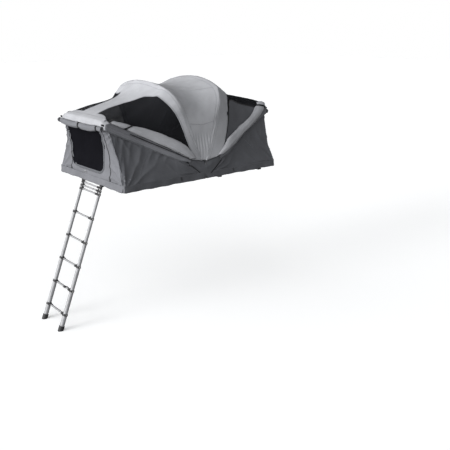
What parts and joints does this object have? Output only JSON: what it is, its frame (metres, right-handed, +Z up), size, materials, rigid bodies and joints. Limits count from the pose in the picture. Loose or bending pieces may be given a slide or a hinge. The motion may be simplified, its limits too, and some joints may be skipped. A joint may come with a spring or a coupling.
{
  "type": "roof top tent",
  "caption": "Folding roof top tent with a hinged base, a canopy over hinged hoops, rolled window flaps, a telescopic ladder and clamps for a vehicle's load bars.",
  "frame": {"origin": "midway between the four load-bar clamps, at the height of the rails' underside, where they rest on the load bars", "axes": "+X from the ladder end to the far end, +Y across the tent away from the picture's viewer, +Z up"},
  "size_m": [3.2745, 1.6578, 2.955],
  "materials": {
    "floor_board": "satin",
    "frame_alloy": "satin",
    "black_plastic": "matte",
    "steel": "satin",
    "foam": "matte",
    "hoop_tube": "satin",
    "ladder_alloy": "satin",
    "ladder_plastic": "matte",
    "webbing": "matte",
    "light_cloth": "matte",
    "dark_cloth": "matte",
    "mesh_cloth": "matte"
  },
  "bodies": {
    "base": {"fixed_panel": "floor_board", "fixed_frame": "frame_alloy", "mounting_rails": "frame_alloy", "rail_caps": "black_plastic", "rail_bolts": "steel", "hinge_plates_fixed": "steel", "hinge_pins": "steel", "mattress_fixed": "foam", "walls_right": "dark_cloth", "valley_walls": "dark_cloth"},
    "fold": {"fold_panel": "floor_board", "fold_frame": "frame_alloy", "hinge_plates_fold": "steel", "mattress_fold": "foam", "ladder_brackets": "steel", "walls_left": "dark_cloth"},
    "right_bow": {"right_bow": "hoop_tube", "windows_right": "mesh_cloth", "flaps_right": "light_cloth"},
    "right_arch": {"right_arch": "hoop_tube", "canopy_right": "light_cloth"},
    "left_arch": {"left_arch": "hoop_tube", "canopy_centre": "light_cloth", "canopy_left": "light_cloth"},
    "left_bow": {"left_bow": "hoop_tube", "windows_left": "mesh_cloth", "flaps_left": "light_cloth"},
    "pole_right_near": {"pole_right_near": "black_plastic"},
    "pole_right_far": {"pole_right_far": "black_plastic"},
    "pole_left_near": {"pole_left_near": "black_plastic"},
    "pole_left_far": {"pole_left_far": "black_plastic"},
    "clamp_1": {"clamp_1": "steel"},
    "clamp_2": {"clamp_2": "steel"},
    "clamp_3": {"clamp_3": "steel"},
    "clamp_4": {"clamp_4": "steel"},
    "ladder_8": {"ladder_section_8": "ladder_alloy", "ladder_collars_8": "ladder_plastic"},
    "ladder_7": {"ladder_section_7": "ladder_alloy", "ladder_collars_7": "ladder_plastic"},
    "ladder_6": {"ladder_section_6": "ladder_alloy", "ladder_collars_6": "ladder_plastic"},
    "ladder_5": {"ladder_section_5": "ladder_alloy", "ladder_collars_5": "ladder_plastic"},
    "ladder_4": {"ladder_section_4": "ladder_alloy", "ladder_collars_4": "ladder_plastic"},
    "ladder_3": {"ladder_section_3": "ladder_alloy", "ladder_collars_3": "ladder_plastic"},
    "ladder_2": {"ladder_section_2": "ladder_alloy", "ladder_collars_2": "ladder_plastic", "ladder_strap": "webbing"},
    "ladder_1": {"ladder_section_1": "ladder_alloy", "ladder_collars_1": "ladder_plastic", "ladder_feet": "black_plastic"},
    "latch_7": {"ladder_latches_7": "ladder_plastic"},
    "latch_6": {"ladder_latches_6": "ladder_plastic"},
    "latch_5": {"ladder_latches_5": "ladder_plastic"},
    "latch_4": {"ladder_latches_4": "ladder_plastic"},
    "latch_3": {"ladder_latches_3": "ladder_plastic"},
    "latch_2": {"ladder_latches_2": "ladder_plastic"},
    "latch_1": {"ladder_latches_1": "ladder_plastic"}
  },
  "joints": [
    {"name": "fold", "type": "hinge", "parent": "base", "child": "fold", "pos_m": [-0.6005, 0, 0.162], "axis": [0, 1, 0], "range_deg": [0, 180], "deforming": ["canopy_centre", "canopy_left", "canopy_right", "windows_left", "windows_right", "walls_left", "walls_right", "flaps_left", "flaps_right", "valley_walls"]},
    {"name": "right_bow_swing", "type": "hinge", "parent": "base", "child": "right_bow", "pos_m": [-0.6005, 0, 0.162], "axis": [0, 1, 0], "range_deg": [0, 27.5]},
    {"name": "right_arch_swing", "type": "hinge", "parent": "right_bow", "child": "right_arch", "pos_m": [-0.6005, 0, 0.162], "axis": [0, 1, 0], "range_deg": [0, 41.6]},
    {"name": "left_arch_swing", "type": "hinge", "parent": "right_arch", "child": "left_arch", "pos_m": [-0.6005, 0, 0.162], "axis": [0, 1, 0], "range_deg": [0, 41.8]},
    {"name": "left_bow_swing", "type": "hinge", "parent": "left_arch", "child": "left_bow", "pos_m": [-0.6005, 0, 0.162], "axis": [0, 1, 0], "range_deg": [0, 41.6]},
    {"name": "pole_right_near_slide", "type": "slide", "parent": "right_bow", "child": "pole_right_near", "axis": [0.89, 0.1392, 0.4341], "range_m": [-0.27, 0]},
    {"name": "pole_right_far_slide", "type": "slide", "parent": "right_bow", "child": "pole_right_far", "axis": [0.89, -0.1392, 0.4341], "range_m": [-0.27, 0]},
    {"name": "pole_left_near_slide", "type": "slide", "parent": "left_bow", "child": "pole_left_near", "axis": [-0.89, 0.1392, 0.4341], "range_m": [-0.27, 0]},
    {"name": "pole_left_far_slide", "type": "slide", "parent": "left_bow", "child": "pole_left_far", "axis": [-0.89, -0.1392, 0.4341], "range_m": [-0.27, 0]},
    {"name": "clamp_1_slide", "type": "slide", "parent": "base", "child": "clamp_1", "axis": [0, 1, 0], "range_m": [-0.14, 0.14]},
    {"name": "clamp_2_slide", "type": "slide", "parent": "base", "child": "clamp_2", "axis": [0, 1, 0], "range_m": [-0.14, 0.14]},
    {"name": "clamp_3_slide", "type": "slide", "parent": "base", "child": "clamp_3", "axis": [0, 1, 0], "range_m": [-0.14, 0.14]},
    {"name": "clamp_4_slide", "type": "slide", "parent": "base", "child": "clamp_4", "axis": [0, 1, 0], "range_m": [-0.14, 0.14]},
    {"name": "ladder_swing", "type": "hinge", "parent": "fold", "child": "ladder_8", "pos_m": [-1.8055, -0.035, 0.014], "axis": [0, 1, 0], "range_deg": [0, 60]},
    {"name": "ladder_7_slide", "type": "slide", "parent": "ladder_8", "child": "ladder_7", "axis": [-0.3681, 0, -0.9298], "range_m": [0, 0.266]},
    {"name": "ladder_6_slide", "type": "slide", "parent": "ladder_7", "child": "ladder_6", "axis": [-0.3681, 0, -0.9298], "range_m": [0, 0.266]},
    {"name": "ladder_5_slide", "type": "slide", "parent": "ladder_6", "child": "ladder_5", "axis": [-0.3681, 0, -0.9298], "range_m": [-0.266, 0]},
    {"name": "ladder_4_slide", "type": "slide", "parent": "ladder_5", "child": "ladder_4", "axis": [-0.3681, 0, -0.9298], "range_m": [-0.266, 0]},
    {"name": "ladder_3_slide", "type": "slide", "parent": "ladder_4", "child": "ladder_3", "axis": [-0.3681, 0, -0.9298], "range_m": [-0.266, 0]},
    {"name": "ladder_2_slide", "type": "slide", "parent": "ladder_3", "child": "ladder_2", "axis": [-0.3681, 0, -0.9298], "range_m": [-0.266, 0]},
    {"name": "ladder_1_slide", "type": "slide", "parent": "ladder_2", "child": "ladder_1", "axis": [-0.3681, 0, -0.9298], "range_m": [-0.15, 0]},
    {"name": "latch_7_press", "type": "slide", "parent": "ladder_7", "child": "latch_7", "axis": [-0.3681, 0, -0.9298], "range_m": [0, 0.004], "stiffness_N_per_m": 800, "springref_m": -0.002},
    {"name": "latch_6_press", "type": "slide", "parent": "ladder_6", "child": "latch_6", "axis": [-0.3681, 0, -0.9298], "range_m": [0, 0.004], "stiffness_N_per_m": 800, "springref_m": -0.002},
    {"name": "latch_5_press", "type": "slide", "parent": "ladder_5", "child": "latch_5", "axis": [-0.3681, 0, -0.9298], "range_m": [0, 0.004], "stiffness_N_per_m": 800, "springref_m": -0.002},
    {"name": "latch_4_press", "type": "slide", "parent": "ladder_4", "child": "latch_4", "axis": [-0.3681, 0, -0.9298], "range_m": [0, 0.004], "stiffness_N_per_m": 800, "springref_m": -0.002},
    {"name": "latch_3_press", "type": "slide", "parent": "ladder_3", "child": "latch_3", "axis": [-0.3681, 0, -0.9298], "range_m": [0, 0.004], "stiffness_N_per_m": 800, "springref_m": -0.002},
    {"name": "latch_2_press", "type": "slide", "parent": "ladder_2", "child": "latch_2", "axis": [-0.3681, 0, -0.9298], "range_m": [0, 0.004], "stiffness_N_per_m": 800, "springref_m": -0.002},
    {"name": "latch_1_press", "type": "slide", "parent": "ladder_1", "child": "latch_1", "axis": [-0.3681, 0, -0.9298], "range_m": [0, 0.004], "stiffness_N_per_m": 800, "springref_m": -0.002}
  ],
  "couplings": [
    {"joint": "right_bow_swing", "follows": "fold", "ratio": 0.15278},
    {"joint": "right_arch_swing", "follows": "fold", "ratio": 0.23111},
    {"joint": "left_arch_swing", "follows": "fold", "ratio": 0.23222},
    {"joint": "left_bow_swing", "follows": "fold", "ratio": 0.23111}
  ]
}
